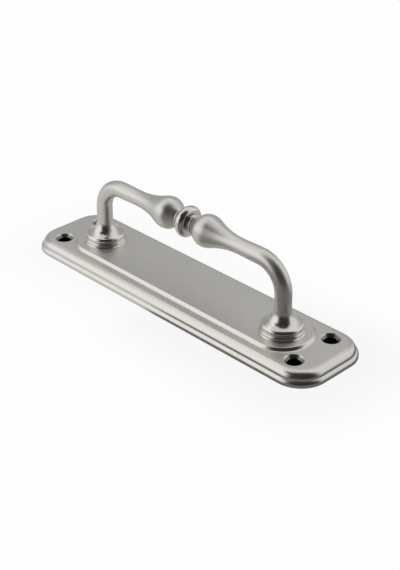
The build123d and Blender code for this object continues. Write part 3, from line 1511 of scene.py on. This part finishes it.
@dataclass(frozen=True)
class Viewpoint:
    """Camera of the picture: where it stands, what it looks at and its focal length in pixels."""

    azimuth: float = 45.6
    elevation: float = 30.33
    distance: float = 650.0 * MM
    focal_px: float = 1243.8
    target: Point3 = (-4.48 * MM, 12.56 * MM, 0.0)
    nearest: float = 10 * MM
    farthest: float = 100.0
    name: str = "picture_camera"

    def build(self) -> bpy.types.Object:
        """Make the camera and hand it to the scene.

        Returns:
            The camera's object.
        """
        lens = bpy.data.cameras.new(self.name)
        lens.sensor_width = SENSOR_MM
        lens.lens = self.focal_px * SENSOR_MM / IMAGE_HEIGHT_PX
        lens.clip_start = self.nearest
        lens.clip_end = self.farthest
        camera = link_object(self.name, lens)
        back = direction_to(self.azimuth, self.elevation)
        camera.location = Vector(self.target) + back * self.distance
        camera.rotation_mode = "QUATERNION"
        camera.rotation_quaternion = (-back).to_track_quat("-Z", "Y")
        bpy.context.scene.camera = camera
        return camera


@dataclass
class Studio:
    """White floor and room with the cards that shape the metal's reflections.

    A whiteness is the share of plain white in the floor where it is seen. It is lower beside the plate,
    so that the handle's shadow shows there. The apron is a glow over the floor that shows only in
    reflections. Edges are distances from the plate's outline.
    """

    plate: BackPlate
    floor_radius: float = 4.0
    floor_gap: float = 0.2 * MM
    floor_sides: int = 96
    floor_colour: Colour = (0.88, 0.88, 0.87)
    floor_whiteness: float = 0.98
    floor_edge: Point2 = (-2.0 * MM, -0.6 * MM)
    shadow_whiteness: float = 0.90
    shadow_edge: Point2 = (0.0, 45.0 * MM)
    room_level: float = 1.0
    apron_radius: float = 1.15
    apron_fade: float = 0.95
    apron_edge: Point2 = (-2.2 * MM, -0.7 * MM)
    apron_level: float = 0.46
    apron_left_level: float = 0.62
    apron_left_spread: Point2 = (0.2, 0.85)
    apron_left: Point3 = (-0.71, -0.71, 0.0)
    apron_front_level: float = 0.17
    apron_front_spread: Point2 = (0.15, 0.65)
    apron_front: Point3 = (0.82, -0.57, 0.0)

    def cards(self) -> list[Card]:
        """Cards around the handle.

        Returns:
            Two dark cards in front, a grey one behind, and paler ones to the right and overhead.
        """
        return [
            Card(
                name="dark_front",
                azimuth=(-15, 128),
                elevation=(0, 90),
                level=0.030,
                feather=(26, 0.1, 16),
                distance=1.15,
            ),
            Card(
                name="dark_wedge",
                azimuth=(-40, 40),
                elevation=(40, 72),
                level=0.024,
                feather=(22, 10, 10),
                distance=1.1,
            ),
            Card(
                name="grey_back",
                azimuth=(-200, -54),
                elevation=(0, 58),
                level=0.39,
                feather=(38, 0.1, 22),
                colour=(0.97, 0.99, 1.04),
                distance=1.2,
            ),
            Card(
                name="pale_right",
                azimuth=(105, 200),
                elevation=(0, 75),
                level=0.8,
                feather=(15, 0.1, 10),
                distance=1.25,
            ),
            Card(
                name="pale_top",
                azimuth=(0, 360),
                elevation=(58, 90),
                level=0.70,
                feather=(0.1, 10, 0.1),
                distance=1.3,
            ),
        ]

    def beyond_plate(
        self, nodes: NodeBuilder, place: bpy.types.NodeSocket, edge: Point2
    ) -> bpy.types.NodeSocket:
        """Mask of the floor around the plate.

        Args:
            nodes: Builder of the material's tree.
            place: Object coordinates.
            edge: Where the mask starts to rise and where it is 1, from the plate's outline outwards.

        Returns:
            The mask, 0 under the plate.
        """
        corner = self.plate.corner_radius
        straight = (self.plate.length / 2 - corner, self.plate.width / 2 - corner, 0.0)
        past = nodes.vector("SUBTRACT", nodes.vector("ABSOLUTE", place), straight)
        distance = nodes.level_length(nodes.vector("MAXIMUM", past))
        return nodes.smooth_step(distance, corner + edge[0], corner + edge[1])

    def floor_material(self) -> bpy.types.Material:
        """Plain white floor that keeps the handle's shadow and is clear from below.

        Returns:
            The new material.
        """
        made, nodes = blank_material("white_floor")
        place = nodes.node("ShaderNodeTexCoord").outputs["Object"]
        path = nodes.node("ShaderNodeLightPath").outputs
        seen = nodes.math("MAXIMUM", path["Is Camera Ray"], path["Is Glossy Ray"])
        seen = nodes.math("MAXIMUM", seen, path["Is Transmission Ray"])
        beyond = self.beyond_plate(nodes, place, self.floor_edge)
        far_off = self.beyond_plate(nodes, place, self.shadow_edge)
        whiteness = nodes.blend(far_off, self.shadow_whiteness, self.floor_whiteness)
        open_floor = nodes.math("MULTIPLY", beyond, whiteness)
        paper = nodes.node("ShaderNodeBsdfDiffuse", {"Color": (*self.floor_colour, 1.0)}).outputs["BSDF"]
        white = nodes.node("ShaderNodeEmission", {"Strength": 1.0}).outputs["Emission"]
        lit = nodes.mix(nodes.math("MULTIPLY", seen, open_floor), paper, white)
        below = nodes.node("ShaderNodeNewGeometry").outputs["Backfacing"]
        clear = nodes.node("ShaderNodeBsdfTransparent").outputs["BSDF"]
        nodes.node("ShaderNodeOutputMaterial", {"Surface": nodes.mix(below, lit, clear)})
        return made

    def apron_side(
        self, nodes: NodeBuilder, place: bpy.types.NodeSocket, direction: Point3, spread: Point2
    ) -> bpy.types.NodeSocket:
        """Mask of the part of the apron that lies to one side of the handle.

        Args:
            nodes: Builder of the material's tree.
            place: Object coordinates.
            direction: Direction of that side.
            spread: Where the mask starts to rise and where it is 1, as the cosine of the angle to
                that direction.

        Returns:
            The mask, 1 on that side.
        """
        inputs = {0: nodes.vector("NORMALIZE", place), 1: direction}
        facing = nodes.node("ShaderNodeVectorMath", inputs, operation="DOT_PRODUCT").outputs["Value"]
        return nodes.smooth_step(facing, *spread)

    def apron_material(self) -> bpy.types.Material:
        """Grey glow around the handle, paler to the left, darker in front and faded out at its edge.

        Returns:
            The new material.
        """
        made, nodes = blank_material("grey_apron")
        place = nodes.node("ShaderNodeTexCoord").outputs["Object"]
        leftward = self.apron_side(nodes, place, self.apron_left, self.apron_left_spread)
        level = nodes.blend(leftward, self.apron_level, self.apron_left_level)
        frontward = self.apron_side(nodes, place, self.apron_front, self.apron_front_spread)
        level = nodes.blend(frontward, level, self.apron_front_level)
        beyond = self.beyond_plate(nodes, place, self.apron_edge)
        strength = nodes.math("MULTIPLY", level, beyond)
        glow = nodes.node("ShaderNodeEmission", {"Strength": strength}).outputs["Emission"]
        distance = nodes.node("ShaderNodeVectorMath", {0: place}, operation="LENGTH").outputs["Value"]
        faded = nodes.smooth_step(distance, self.apron_fade, self.apron_radius)
        clear = nodes.node("ShaderNodeBsdfTransparent").outputs["BSDF"]
        nodes.node("ShaderNodeOutputMaterial", {"Surface": nodes.mix(faded, glow, clear)})
        return made

    def build_disc(self, material: bpy.types.Material, radius: float, height: float) -> bpy.types.Object:
        """Lay a round sheet on the stage.

        Args:
            material: What it is made of; it takes its name from this.
            radius: Its radius.
            height: Where it lies along Z.

        Returns:
            The sheet's object.
        """
        disc = bmesh.new()
        ring = circle_ring((0.0, 0.0), radius, height, self.floor_sides)
        disc.faces.new([disc.verts.new(point) for point in ring])
        mesh = bpy.data.meshes.new(material.name)
        disc.to_mesh(mesh)
        disc.free()
        mesh.materials.append(material)
        sheet = link_object(material.name, mesh)
        return sheet

    def build_room(self) -> None:
        """Light the scene with an even white room."""
        room = bpy.data.worlds.new("white_room")
        room.use_nodes = True
        room.node_tree.nodes.clear()
        nodes = NodeBuilder(room.node_tree)
        light = nodes.node(
            "ShaderNodeBackground", {"Color": (1.0, 1.0, 1.0, 1.0), "Strength": self.room_level}
        )
        nodes.node("ShaderNodeOutputWorld", {"Surface": light.outputs["Background"]})
        bpy.context.scene.world = room

    def build(self) -> None:
        """Set up floor, room, cards and colour view."""
        self.build_disc(self.floor_material(), self.floor_radius, -self.floor_gap)
        apron = self.build_disc(self.apron_material(), self.apron_radius, -self.floor_gap / 2)
        apron.visible_camera = False
        apron.visible_shadow = False
        self.build_room()
        for card in self.cards():
            card.build()
            LOG.info("card %s", card.name)
        bpy.context.scene.view_settings.view_transform = "Standard"


def main() -> None:
    """Build every piece in order, then the studio and the camera."""
    logging.basicConfig(level=logging.INFO, format="%(message)s")
    plate = BackPlate.from_frame()
    for assembly in (plate, PullGrip.from_frame(plate), FixingScrews.from_frame()):
        piece = assembly.build()
        assembly.dress(piece)
        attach(piece, BODY)
        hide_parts(assembly.node)
        LOG.info("piece %s: %d faces", piece.name, len(piece.data.polygons))
    Studio(plate).build()
    Viewpoint().build()


if __name__ == "__main__":
    main()
